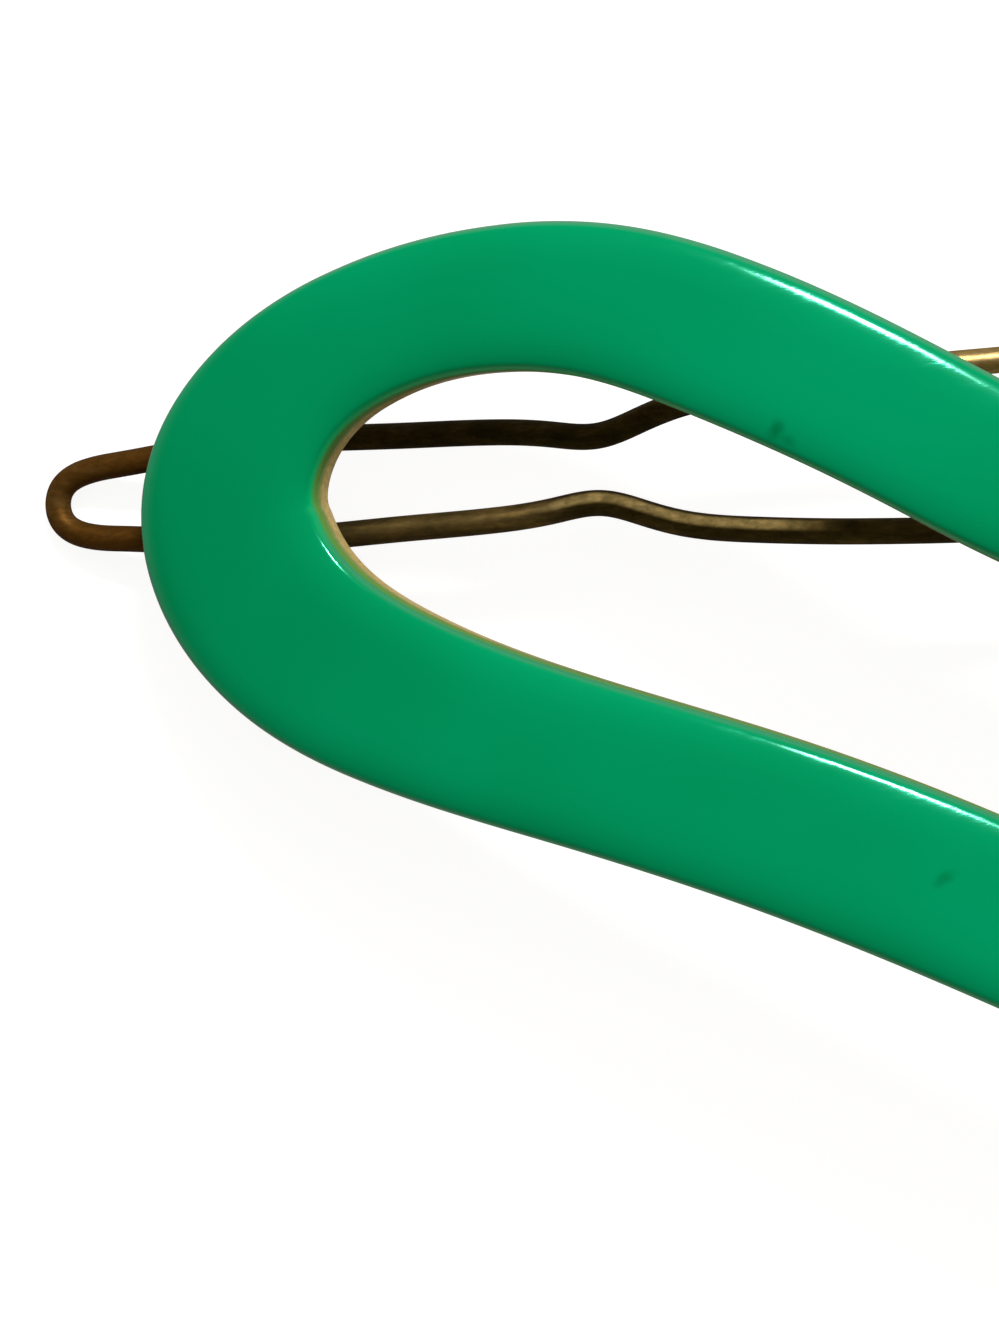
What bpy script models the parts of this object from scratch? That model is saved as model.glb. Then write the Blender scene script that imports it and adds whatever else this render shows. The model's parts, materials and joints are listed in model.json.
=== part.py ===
"""French barrette: an open loop of enamelled brass with a hinged wire tongue and a two-eared catch.

+X runs along the clasp from the catch to the hinge, +Y towards the loop's crests and +Z out of the
enamel. The origin is at the middle of the footprint, level with the lowest point. Sizes are in metres.
"""

from math import cos, pi, radians, sin

import bmesh
import bpy
import numpy as np
from mathutils import Vector

# Ornament: a flat band, then arched across its length
ARCH_RADIUS = 0.105
PLATE_THICKNESS = 0.0013
BRASS_RIM = 0.00008
ENAMEL_THICKNESS = 0.00105
ENAMEL_CROWN = 0.00022
ENAMEL_SHOULDER = 0.0008
ENAMEL_GAP = 0.00003
STEPS_BETWEEN_KNOTS = 5
STEPS_ACROSS = 4
SHOULDER_STEPS = 3
CROWN_STEPS = 4
SHARP_ANGLE = radians(36)

# Where the catch's head, the crest and the two dips lie in the flat band, measured to its middle line
CATCH_HEAD_X = -0.0433
CREST_Y = 0.00755
UPPER_DIP_Y = -0.0047
LOWER_DIP_Y = -0.0243
HEAD_WIDTH = 0.0087
CREST_WIDTH = 0.0065
UPPER_ARM_WIDTH = 0.0071
LOWER_ARM_WIDTH = 0.0077

# Middle line of the flat band, from the dip of the upper arm round the catch's head to the dip of the
# lower arm: x, y and the band's width. The hinge's half mirrors it.
BAND_KNOTS = (
    (0.0, UPPER_DIP_Y, UPPER_ARM_WIDTH),
    (-0.0060, UPPER_DIP_Y + 0.00165, UPPER_ARM_WIDTH),
    (-0.0128, UPPER_DIP_Y + 0.0056, UPPER_ARM_WIDTH),
    (-0.0211, CREST_Y - 0.00215, UPPER_ARM_WIDTH + 0.0001),
    (CATCH_HEAD_X + 0.0181, CREST_Y - 0.0006, CREST_WIDTH + 0.0004),
    (CATCH_HEAD_X + 0.0139, CREST_Y, CREST_WIDTH),
    (CATCH_HEAD_X + 0.00615, CREST_Y - 0.00135, CREST_WIDTH - 0.0001),
    (CATCH_HEAD_X + 0.0024, CREST_Y - 0.00375, HEAD_WIDTH - 0.0015),
    (CATCH_HEAD_X, -0.0008, HEAD_WIDTH),
    (CATCH_HEAD_X + 0.0020, -0.0059, HEAD_WIDTH),
    (CATCH_HEAD_X + 0.0069, -0.0095, HEAD_WIDTH - 0.0006),
    (CATCH_HEAD_X + 0.0154, LOWER_DIP_Y + 0.01135, LOWER_ARM_WIDTH - 0.0002),
    (-0.0193, LOWER_DIP_Y + 0.00815, LOWER_ARM_WIDTH - 0.0001),
    (-0.0107, LOWER_DIP_Y + 0.0042, LOWER_ARM_WIDTH),
    (-0.0055, LOWER_DIP_Y + 0.0016, LOWER_ARM_WIDTH),
    (0.0, LOWER_DIP_Y, LOWER_ARM_WIDTH),
)

# Sheet brass of the fittings, and the solder that holds them on the back of the two heads
SHEET = 0.00045
SHEET_CORNER = 0.0006
SOLDER_THICKNESS = 0.0002
SOLDER_MARGIN = 0.00025
SOLDER_CLEARANCE = 0.00008
SHEET_CLEARANCE = 0.00004
BEND_STEPS = 4
CORNER_STEPS = 4
BROKEN_RIM = 0.25

# Wire tongue, a hairpin with an eye for the catch's ears. The hair lies above it, under the arch.
WIRE_RADIUS = 0.0006
HAIR_GAP = 0.0067
TIP_DROOP = 0.0010
DROOP_LENGTH = 0.0128
TRUNNION_GAP = 0.0010
TRUNNION_BEND = 0.0012
WIRE_STEPS = 4
WIRE_ROUNDNESS = 3
LEG_SPREAD_AT_HINGE = 0.0043
EYE_HALF_SPREAD = 0.00225
WAIST_HALF_SPREAD = 0.00150
TIP_X = CATCH_HEAD_X - 0.0075

# Half of the tongue in plan, from the hinge's bend to the tip: x and the distance from the middle line
LEG_KNOTS = (
    (0.0300, 0.0042),
    (0.0120, 0.0040),
    (-0.0060, 0.0038),
    (-0.0150, 0.00348),
    (CATCH_HEAD_X + 0.0238, 0.00311),
    (CATCH_HEAD_X + 0.0211, 0.00270),
    (CATCH_HEAD_X + 0.0193, 0.00212),
    (CATCH_HEAD_X + 0.0173, WAIST_HALF_SPREAD),
    (CATCH_HEAD_X + 0.0152, 0.00172),
    (CATCH_HEAD_X + 0.0128, 0.00197),
    (CATCH_HEAD_X + 0.0083, 0.00210),
    (CATCH_HEAD_X + 0.0020, EYE_HALF_SPREAD),
    (CATCH_HEAD_X - 0.0017, 0.00200),
    (CATCH_HEAD_X - 0.0045, 0.00170),
    (CATCH_HEAD_X - 0.0062, 0.00145),
    (CATCH_HEAD_X - 0.0072, 0.00088),
)

# Hinge: a soldered foot whose end is set down and rolled into a knuckle round the tongue's trunnions
HINGE_SEAT = -CATCH_HEAD_X - 0.0013
HINGE_FOOT = 0.0031
HINGE_WIDTH = 0.0052
KNUCKLE_CLEARANCE = 0.00007
KNUCKLE_SLOPE = radians(10)
KNUCKLE_WRAP = radians(290)
KNUCKLE_STEPS = 20
KNUCKLE_FOOT_GAP = 0.0001

# Catch: an H-shaped plate whose bridge carries two springy ears
CATCH_SEAT = CATCH_HEAD_X - 0.0001
CATCH_LENGTH = 0.0044
CATCH_WIDTH = 0.0064
EAR_WIDTH = 0.0024
EAR_NOTCH_CLEARANCE = 0.00015
EAR_WIRE_CLEARANCE = 0.0002
EAR_ROOT_GAP = 0.00009
EAR_BEND = 0.00035
EAR_CROOK = 0.0005
EAR_CROOK_HEIGHT = 0.0005
EAR_CROOK_EASE = 0.35
EAR_RETURN = 0.000125
EAR_TIP = 0.0007
EAR_UNDER_WIRE = 0.00012
DEPTH_ROUNDS = 20

# Where the fittings' sheet and the tongue's axis lie under their seats
SHEET_TOP = -(SOLDER_CLEARANCE + SOLDER_THICKNESS + SHEET_CLEARANCE)
SHEET_MIDDLE = SHEET_TOP - SHEET / 2
KNUCKLE_BORE = WIRE_RADIUS + KNUCKLE_CLEARANCE
KNUCKLE_MIDDLE = KNUCKLE_BORE + SHEET / 2
KNUCKLE_SET_OUT = KNUCKLE_BORE + SHEET + KNUCKLE_FOOT_GAP
KNUCKLE_RUN = (KNUCKLE_SET_OUT + KNUCKLE_MIDDLE * sin(KNUCKLE_SLOPE)) / cos(KNUCKLE_SLOPE)
KNUCKLE_SET_DOWN = KNUCKLE_RUN * sin(KNUCKLE_SLOPE) + KNUCKLE_MIDDLE * cos(KNUCKLE_SLOPE)


def clear_scene():
    for obj in list(bpy.data.objects):
        bpy.data.objects.remove(obj)


def new_collection(name, hidden=False):
    collection = bpy.data.collections.new(name)
    collection.hide_render = hidden
    bpy.context.scene.collection.children.link(collection)
    return collection


def new_material(name, colour, metallic, roughness):
    material = bpy.data.materials.new(name)
    material.use_nodes = True
    shader = material.node_tree.nodes["Principled BSDF"]
    shader.inputs["Base Color"].default_value = (*colour, 1.0)
    shader.inputs["Metallic"].default_value = metallic
    shader.inputs["Roughness"].default_value = roughness
    return material


def add_object(name, data, collection, material=None, parent=None, location=(0, 0, 0)):
    obj = bpy.data.objects.new(name, data)
    collection.objects.link(obj)
    obj.parent = parent
    obj.location = location
    if material:
        data.materials.append(material)
    return obj


def mesh_from(work, name):
    bmesh.ops.recalc_face_normals(work, faces=work.faces)
    mesh = bpy.data.meshes.new(name)
    work.to_mesh(mesh)
    work.free()
    return mesh


def shade_round(obj):
    obj.data.shade_smooth()
    obj.data.set_sharp_from_angle(angle=SHARP_ANGLE)


def smooth_through(knots, steps, closed):
    """Points and directions on the cubic spline through the knots, steps to each span.

    The span lengths are measured in plan, and an open curve has no bending at its ends."""
    points = np.array(knots, float)
    if closed:
        points = np.vstack([points, points[:1]])
    spans = np.linalg.norm(np.diff(points[:, :2], axis=0), axis=1)
    count = len(points)
    rule = np.zeros((count, count))
    known = np.zeros_like(points)
    chords = np.diff(points, axis=0) / spans[:, None]
    for i in range(1, count - 1):
        rule[i, i - 1 : i + 2] = spans[i], 2 * (spans[i - 1] + spans[i]), spans[i - 1]
        known[i] = 3 * (spans[i] * chords[i - 1] + spans[i - 1] * chords[i])
    if closed:
        rule[0, [0, -1]] = 1, -1
        rule[-1, [1, -1, -2]] = spans[-1], 2 * (spans[-1] + spans[0]), spans[0]
        known[-1] = 3 * (spans[-1] * chords[0] + spans[0] * chords[-1])
    else:
        rule[0, :2] = 2, 1
        rule[-1, -2:] = 1, 2
        known[0], known[-1] = 3 * chords[0], 3 * chords[-1]
    slopes = np.linalg.solve(rule, known)
    places, directions = [], []
    for i, span in enumerate(spans):
        for t in np.arange(steps) / steps:
            near, far = points[i], points[i + 1]
            places.append(
                near * (1 + 2 * t) * (1 - t) ** 2
                + far * t**2 * (3 - 2 * t)
                + span * (slopes[i] * t * (1 - t) ** 2 - slopes[i + 1] * t**2 * (1 - t))
            )
            directions.append(
                (far - near) * 6 * t * (1 - t) / span
                + slopes[i] * (1 - t) * (1 - 3 * t)
                + slopes[i + 1] * t * (3 * t - 2)
            )
    if not closed:
        places.append(points[-1])
        directions.append(slopes[-1])
    return np.array(places), np.array(directions)


def arched(along, across, height):
    """The flat band's point, bent to the arch. Height is measured from the back of the plate."""
    angle = along / ARCH_RADIUS
    radius = ARCH_RADIUS + height
    return Vector((radius * sin(angle), across, radius * cos(angle) - ARCH_RADIUS))


def band_stations():
    """The band's middle line, outward direction and width at each station round the loop."""
    other_half = [(-x, y, width) for x, y, width in reversed(BAND_KNOTS[1:-1])]
    places, directions = smooth_through([*BAND_KNOTS, *other_half], STEPS_BETWEEN_KNOTS, True)
    outward = np.column_stack([directions[:, 1], -directions[:, 0]])
    outward /= np.linalg.norm(outward, axis=1)[:, None]
    return places[:, :2], outward, places[:, 2]


def level_row(half, height):
    """Points across the band at one height, close enough together to follow the arch."""
    return [(across, height) for across in np.linspace(-half, half, STEPS_ACROSS + 1)]


def plate_section(width):
    back = level_row(width / 2, 0.0)
    front = level_row(-width / 2, PLATE_THICKNESS)
    return [*back, *front]


def enamel_section(width):
    """Flat underneath, with rounded shoulders and a slight crown."""
    half = width / 2 - BRASS_RIM
    base = PLATE_THICKNESS + ENAMEL_GAP
    shoulder_centre = PLATE_THICKNESS + ENAMEL_THICKNESS - ENAMEL_SHOULDER
    flat_half = half - ENAMEL_SHOULDER
    crown = [
        (flat_half * c, shoulder_centre + ENAMEL_SHOULDER + ENAMEL_CROWN * (1 - c * c))
        for c in np.linspace(1, -1, CROWN_STEPS + 1)[1:-1]
    ]
    shoulder = [
        (flat_half + ENAMEL_SHOULDER * cos(a), shoulder_centre + ENAMEL_SHOULDER * sin(a))
        for a in np.linspace(0, pi / 2, SHOULDER_STEPS + 1)
    ]
    other_shoulder = [(-across, height) for across, height in reversed(shoulder)]
    return [*level_row(half, base), *shoulder, *crown, *other_shoulder]


def build_band(name, section, collection, material):
    """A closed loop of cross sections, set square to the band's middle line and bent to the arch."""
    work = bmesh.new()
    rings = []
    for (along, across), outward, width in zip(*band_stations()):
        ring = [
            work.verts.new(arched(along + outward[0] * u, across + outward[1] * u, height))
            for u, height in section(width)
        ]
        rings.append(ring)
    for ring, following in zip(rings, rings[1:] + rings[:1]):
        for i, vert in enumerate(ring):
            work.faces.new((vert, ring[i - 1], following[i - 1], following[i]))
    obj = add_object(name, mesh_from(work, name), collection, material)
    shade_round(obj)
    return obj


def build_seat(name, along, collection):
    """An empty on the back of the plate: its X is tangent to the arch and its Z points at the enamel."""
    seat = add_object(name, None, collection)
    seat.location = arched(along, 0.0, 0.0)
    seat.rotation_euler.y = along / ARCH_RADIUS
    return seat


def rounded_slab(name, size, top, corner, collection, material, seat):
    """A slab under a seat, its corners rounded in plan and its lower rim slightly broken."""
    work = bmesh.new()
    bmesh.ops.create_cube(work, size=1.0)
    bmesh.ops.scale(work, vec=size, verts=work.verts)
    upright = [e for e in work.edges if abs(e.verts[0].co.z - e.verts[1].co.z) > size[2] / 2]
    bmesh.ops.bevel(
        work, geom=upright, offset=corner, segments=CORNER_STEPS, profile=0.5, affect="EDGES"
    )
    low = [e for e in work.edges if all(v.co.z < 0 for v in e.verts)]
    bmesh.ops.bevel(work, geom=low, offset=size[2] * BROKEN_RIM, segments=1, affect="EDGES")
    location = (0.0, 0.0, top - size[2] / 2)
    return add_object(name, mesh_from(work, name), collection, material, seat, location)


def box_cutter(name, low, high, collection, parent):
    work = bmesh.new()
    bmesh.ops.create_cube(work, size=1.0)
    size = [b - a for a, b in zip(low, high)]
    bmesh.ops.scale(work, vec=size, verts=work.verts)
    middle = [(a + b) / 2 for a, b in zip(low, high)]
    cutter = add_object(name, mesh_from(work, name), collection, None, parent, middle)
    cutter.hide_render = True
    cutter.display_type = "WIRE"
    return cutter


def cut(obj, cutter):
    boolean = obj.modifiers.new("cut_" + cutter.name, "BOOLEAN")
    boolean.operation = "DIFFERENCE"
    boolean.object = cutter


def bent_strip(name, route, width_along, width, collection, material, parent, location):
    """Sheet brass bent along a route, given at the middle of its thickness."""
    work = bmesh.new()
    sides = []
    for shift in (-width / 2, width / 2):
        sides.append([work.verts.new(Vector(place) + Vector(width_along) * shift) for place in route])
    for i in range(len(route) - 1):
        work.faces.new((sides[0][i], sides[0][i + 1], sides[1][i + 1], sides[1][i]))
    strip = add_object(name, mesh_from(work, name), collection, material, parent, location)
    wall = strip.modifiers.new("sheet", "SOLIDIFY")
    wall.thickness = SHEET
    wall.offset = 0.0
    wall.use_even_offset = True
    shade_round(strip)
    return strip


def under_seat(along, local_x, depth):
    """The point under a seat, at one local X and this far from the back of the plate."""
    angle = along / ARCH_RADIUS
    aside = Vector((cos(angle), 0.0, -sin(angle))) * local_x
    return arched(along, 0.0, 0.0) + aside - Vector((sin(angle), 0.0, cos(angle))) * depth


def hinge_axis():
    """Where the tongue's axis crosses the middle of the clasp."""
    return under_seat(HINGE_SEAT, HINGE_FOOT / 2 + KNUCKLE_SET_OUT, KNUCKLE_SET_DOWN - SHEET_MIDDLE)


def tongue_height(x):
    """Height of the wire's middle, from the back of the plate at the top of the arch."""
    axis = hinge_axis()
    middle = -HAIR_GAP - WIRE_RADIUS
    past_start = max(0.0, TIP_X + DROOP_LENGTH - x) / DROOP_LENGTH
    return middle + (axis.z - middle) * (x / axis.x) ** 2 - TIP_DROOP * past_start**2


def build_tongue(collection, material, parent):
    """One hairpin of wire: two trunnions, two legs, a waist and an eye that ends in the finger tip."""
    axis = hinge_axis()
    bend = [
        (axis.x - TRUNNION_BEND * (1 - cos(a)), LEG_SPREAD_AT_HINGE - TRUNNION_BEND * (1 - sin(a)))
        for a in np.linspace(0, pi / 2, BEND_STEPS + 1)
    ]
    leg = [*LEG_KNOTS, (TIP_X, 0.0), *[(x, -y) for x, y in reversed(LEG_KNOTS)]]
    start, end = bend[-1], (bend[-1][0], -bend[-1][1])
    wire, _ = smooth_through([start, *leg, end], WIRE_STEPS, False)
    plan = [(axis.x, TRUNNION_GAP / 2), *bend[:-1], *wire]
    plan += [(x, -y) for x, y in reversed(bend[:-1])] + [(axis.x, -TRUNNION_GAP / 2)]
    curve = bpy.data.curves.new("wire_tongue", "CURVE")
    curve.dimensions = "3D"
    curve.bevel_depth = WIRE_RADIUS
    curve.bevel_resolution = WIRE_ROUNDNESS
    curve.use_fill_caps = True
    spline = curve.splines.new("POLY")
    spline.points.add(len(plan) - 1)
    for point, (x, y) in zip(spline.points, plan):
        point.co = (x - axis.x, y, tongue_height(x) - axis.z, 1.0)
    return add_object("wire_tongue", curve, collection, material, parent, axis)


def build_hinge(collection, brass, solder, seat):
    rounded_slab(
        "hinge_solder",
        (HINGE_FOOT + 2 * SOLDER_MARGIN, HINGE_WIDTH + 2 * SOLDER_MARGIN, SOLDER_THICKNESS),
        -SOLDER_CLEARANCE,
        SHEET_CORNER,
        collection,
        solder,
        seat,
    )
    axis_x = HINGE_FOOT / 2 + KNUCKLE_SET_OUT
    axis_z = SHEET_MIDDLE - KNUCKLE_SET_DOWN
    start = pi / 2 - KNUCKLE_SLOPE
    route = [(-HINGE_FOOT / 2, 0.0, SHEET_MIDDLE), (HINGE_FOOT / 2, 0.0, SHEET_MIDDLE)]
    for a in np.linspace(start, start - KNUCKLE_WRAP, KNUCKLE_STEPS + 1):
        route.append((axis_x + KNUCKLE_MIDDLE * cos(a), 0.0, axis_z + KNUCKLE_MIDDLE * sin(a)))
    bent_strip("hinge_plate", route, (0, 1, 0), HINGE_WIDTH, collection, brass, seat, (0, 0, 0))


def wire_under_seat(local_x):
    """How far under the catch's seat plane the lower side of the wire lies, at one local X."""
    depth = 0.0
    for _ in range(DEPTH_ROUNDS):
        place = under_seat(CATCH_SEAT, local_x, depth)
        depth += place.z - tongue_height(place.x)
    return depth + WIRE_RADIUS


def eased(corners, ease):
    """The route with each inner corner cut back by this share of its shorter side and rounded."""
    route = [corners[0]]
    for before, corner, after in zip(corners, corners[1:], corners[2:]):
        reach = ease * min((before - corner).length, (after - corner).length)
        near = corner + (before - corner).normalized() * reach
        far = corner + (after - corner).normalized() * reach
        for t in np.linspace(0, 1, BEND_STEPS):
            route.append(near.lerp(corner, t).lerp(corner.lerp(far, t), t))
    return [*route, corners[-1]]


def build_ear(name, side, face, crook_depth, collection, brass, seat):
    """One ear: it leaves the bridge, bends down through the wire's eye and crooks out under the wire."""
    upright = face - SHEET / 2
    root = upright - EAR_BEND
    bend = [
        Vector((root + EAR_BEND * sin(a), SHEET_MIDDLE - EAR_BEND * (1 - cos(a))))
        for a in np.linspace(0, pi / 2, BEND_STEPS + 1)
    ]
    crook = [
        bend[-1],
        Vector((upright, crook_depth + EAR_CROOK_HEIGHT)),
        Vector((upright + EAR_CROOK, crook_depth)),
        Vector((upright + EAR_RETURN, crook_depth - EAR_CROOK_HEIGHT)),
        Vector((upright + EAR_RETURN, crook_depth - EAR_CROOK_HEIGHT - EAR_TIP)),
    ]
    pivot = Vector((0.0, side * (root - EAR_ROOT_GAP / 2), SHEET_MIDDLE))
    route = [*bend, *eased(crook, EAR_CROOK_EASE)[1:]]
    places = [(0.0, side * y - pivot.y, z - pivot.z) for y, z in route]
    bent_strip(name, places, (1, 0, 0), EAR_WIDTH, collection, brass, seat, pivot)
    return root


def build_catch(collection, cutters, brass, solder, seat):
    plate = rounded_slab(
        "catch_plate",
        (CATCH_LENGTH, CATCH_WIDTH, SHEET),
        SHEET_TOP,
        SHEET_CORNER,
        collection,
        brass,
        seat,
    )
    rounded_slab(
        "catch_solder",
        (CATCH_LENGTH + 2 * SOLDER_MARGIN, CATCH_WIDTH + 2 * SOLDER_MARGIN, SOLDER_THICKNESS),
        -SOLDER_CLEARANCE,
        SHEET_CORNER + SOLDER_MARGIN,
        collection,
        solder,
        seat,
    )
    face = EYE_HALF_SPREAD - WIRE_RADIUS - EAR_WIRE_CLEARANCE
    lowest_wire = max(wire_under_seat(x) for x in (-EAR_WIDTH / 2, EAR_WIDTH / 2))
    crook_depth = -(lowest_wire + EAR_UNDER_WIRE + SHEET / 2)
    for name, side in (("catch_ear_upper", 1), ("catch_ear_lower", -1)):
        root = build_ear(name, side, face, crook_depth, collection, brass, seat)
        inner = side * (root - EAR_ROOT_GAP)
        outer = side * CATCH_WIDTH
        notch_half = EAR_WIDTH / 2 + EAR_NOTCH_CLEARANCE
        low = (-notch_half, min(inner, outer), SHEET_TOP - 2 * SHEET)
        high = (notch_half, max(inner, outer), SHEET_TOP + SHEET)
        cut(plate, box_cutter("notch_for_" + name, low, high, cutters, seat))


def stand_on_origin(parts, root):
    """Moves the whole part so that the origin is under the middle of its footprint."""
    bpy.context.view_layer.update()
    graph = bpy.context.evaluated_depsgraph_get()
    corners = []
    for obj in parts.objects:
        if obj.type == "EMPTY":
            continue
        shape = obj.evaluated_get(graph)
        mesh = shape.to_mesh()
        corners += [shape.matrix_world @ vert.co for vert in mesh.vertices]
        shape.to_mesh_clear()
    low = [min(c[i] for c in corners) for i in range(3)]
    high = [max(c[i] for c in corners) for i in range(3)]
    root.location = (-(low[0] + high[0]) / 2, -(low[1] + high[1]) / 2, -low[2])
    bpy.context.view_layer.update()


def main():
    clear_scene()
    parts = new_collection("french_barrette")
    cutters = new_collection("cutters", hidden=True)
    plate_brass = new_material("plate_brass", (0.56, 0.38, 0.15), 1.0, 0.32)
    wire_brass = new_material("aged_wire", (0.24, 0.15, 0.06), 1.0, 0.38)
    fitting_brass = new_material("fitting_brass", (0.42, 0.28, 0.12), 1.0, 0.36)
    solder_grey = new_material("solder", (0.45, 0.43, 0.40), 1.0, 0.5)
    enamel_green = new_material("green_enamel", (0.005, 0.29, 0.12), 0.0, 0.08)

    root = add_object("barrette_root", None, parts)
    plate = build_band("frame_plate", plate_section, parts, plate_brass)
    enamel = build_band("enamel_face", enamel_section, parts, enamel_green)
    hinge_seat = build_seat("hinge_seat", HINGE_SEAT, parts)
    catch_seat = build_seat("catch_seat", CATCH_SEAT, parts)
    build_hinge(parts, fitting_brass, solder_grey, hinge_seat)
    build_catch(parts, cutters, fitting_brass, solder_grey, catch_seat)
    tongue = build_tongue(parts, wire_brass, root)
    for obj in (plate, enamel, hinge_seat, catch_seat, tongue):
        obj.parent = root
    stand_on_origin(parts, root)


if __name__ == "__main__":
    main()
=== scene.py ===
"""The french barrette's looks: poured enamel, stamped brass, a patinated wire tongue and its fittings.

Every size is in metres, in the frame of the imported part."""

import json
from math import acos, cos, hypot, pi, radians, sin

import bmesh
import bpy
import numpy as np
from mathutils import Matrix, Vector
from mathutils.kdtree import KDTree


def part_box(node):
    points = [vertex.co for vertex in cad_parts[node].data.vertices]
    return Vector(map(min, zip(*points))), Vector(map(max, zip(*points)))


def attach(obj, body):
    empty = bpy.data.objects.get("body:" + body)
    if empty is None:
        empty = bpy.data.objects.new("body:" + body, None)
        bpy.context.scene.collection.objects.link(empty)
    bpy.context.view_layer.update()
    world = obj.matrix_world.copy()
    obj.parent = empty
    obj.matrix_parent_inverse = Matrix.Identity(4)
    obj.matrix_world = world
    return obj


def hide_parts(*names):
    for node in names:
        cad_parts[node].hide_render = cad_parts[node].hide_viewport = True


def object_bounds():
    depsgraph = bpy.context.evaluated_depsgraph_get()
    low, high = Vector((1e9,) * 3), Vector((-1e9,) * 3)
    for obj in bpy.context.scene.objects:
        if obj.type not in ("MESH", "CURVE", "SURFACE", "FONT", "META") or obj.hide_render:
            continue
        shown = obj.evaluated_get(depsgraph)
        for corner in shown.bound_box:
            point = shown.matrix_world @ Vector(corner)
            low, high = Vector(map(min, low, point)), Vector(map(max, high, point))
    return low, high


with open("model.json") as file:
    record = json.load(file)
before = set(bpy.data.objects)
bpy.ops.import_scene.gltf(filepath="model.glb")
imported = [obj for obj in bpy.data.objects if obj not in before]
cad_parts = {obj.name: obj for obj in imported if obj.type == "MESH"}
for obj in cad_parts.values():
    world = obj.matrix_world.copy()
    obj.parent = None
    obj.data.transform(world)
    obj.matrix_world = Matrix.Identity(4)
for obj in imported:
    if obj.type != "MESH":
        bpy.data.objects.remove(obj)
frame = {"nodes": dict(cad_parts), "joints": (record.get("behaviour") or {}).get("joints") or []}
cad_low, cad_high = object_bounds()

bl_info = {
    "name": "French Barrette",
    "version": (1, 0, 0),
    "blender": (4, 5, 0),
    "location": "View3D > Sidebar > Barrette",
    "description": "Models a hair barrette of enamelled brass with a hinged wire tongue",
    "category": "Add Mesh",
}

# The photograph's frame and its camera, straight above the enamel
PHOTO_SIZE = (999, 1333)
SENSOR = 36.0
FOCAL_PIXELS = 4700.0
CAMERA_HEIGHT = 0.200
CAMERA_FROM_MIDDLE = (-0.0310, -0.00857)
CAMERA_TURN = radians(3.45)

# Points nearer than this are one point
MERGE = 1e-6
# How far two faces turn over an edge: up to FLAT it is flat, past SHARP it is sharp, and up to SOFT
# it is shaded smooth on the plate and the sheet fittings
FLAT = radians(1)
SOFT = radians(32)
SHARP = radians(50)
# How many times the band's pieces and the wire are subdivided
FINE = 2


def sharp_lines(node):
    """The closed lines of sharp edges on a CAD node, each as an array of points in order."""
    work = bmesh.new()
    work.from_mesh(frame["nodes"][node].data)
    bmesh.ops.remove_doubles(work, verts=work.verts, dist=MERGE)
    beside = {}
    for edge in work.edges:
        if edge.calc_face_angle() > SHARP:
            for a, b in (edge.verts, reversed(edge.verts)):
                beside.setdefault(a, []).append(b)
    lines = []
    while beside:
        here, points = next(iter(beside)), []
        while here:
            points.append(here.co[:])
            here = next((v for v in beside.pop(here) if v in beside), None)
        lines.append(np.array(points))
    work.free()
    return sorted(lines, key=lambda line: np.ptp(line[:, 0]))


def read_arch():
    """The arch's middle, the height of its axis, and the radii of the plate's back and front."""
    low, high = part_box("frame_plate")
    middle = (low.x + high.x) / 2
    lines = sharp_lines("frame_plate")
    end = lines[-1][np.argmax(lines[-1][:, 0])]
    top = lines[-1][:, 2].max()
    drop = top - end[2]
    axis = top - ((end[0] - middle) ** 2 + drop**2) / (2 * drop)
    radii = [hypot(line[0][0] - middle, line[0][2] - axis) for line in lines]
    return middle, axis, min(radii), max(radii)


MIDDLE_X, AXIS_Z, BACK_RADIUS, FRONT_RADIUS = read_arch()
ARCH_TOP = AXIS_Z + BACK_RADIUS


def band_lines(node):
    """A node's outer and inner line, unrolled flat, each from the middle of the lower dip."""
    lines = sharp_lines(node)
    flat = []
    for line in (lines[-1], lines[0]):
        angle = np.arctan2(line[:, 0] - MIDDLE_X, line[:, 2] - AXIS_Z)
        points = np.column_stack([MIDDLE_X + angle * BACK_RADIUS, line[:, 1]])
        at_middle = np.flatnonzero(np.abs(angle) < MERGE)
        points = np.roll(points, -at_middle[np.argmin(points[at_middle, 1])], axis=0)
        if points[1, 0] < points[-1, 0]:
            points = np.roll(points[::-1], 1, axis=0)
        flat.append(points)
    return flat


def length(name, description, default):
    return bpy.props.FloatProperty(name=name, description=description, default=default, unit="LENGTH")


def share(name, description, default):
    return bpy.props.FloatProperty(name=name, description=description, default=default, subtype="FACTOR")


def colour(name, description, default):
    return bpy.props.FloatVectorProperty(
        name=name, description=description, default=default, subtype="COLOR"
    )


class BarretteSizes(bpy.types.PropertyGroup):
    """Sizes of the finish that the CAD part leaves open."""

    shoulder_width: length("Shoulder width", "How far the enamel rounds off inwards", 0.0018)
    shoulder_height: length("Shoulder height", "How far the enamel rounds off downwards", 0.00047)
    corner_width: length("Corner width", "How far the corner under the shoulder rounds inwards", 0.0003)
    corner_height: length("Corner height", "How far that corner rounds downwards", 0.00045)
    crown_width: length("Crown width", "From the edge to the flat of the crown", 0.0031)
    crown_height: length("Crown height", "Rise of the enamel inside its shoulders", 0.0002)
    plate_edge: length("Plate edge", "Radius of the stamped plate's edges", 0.00014)
    sheet_edge: length("Sheet edge", "Width of the rounding on the fittings", 0.00007)
    solder_swell: length("Solder swell", "How uneven the solder's skin is", 0.00006)


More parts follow.
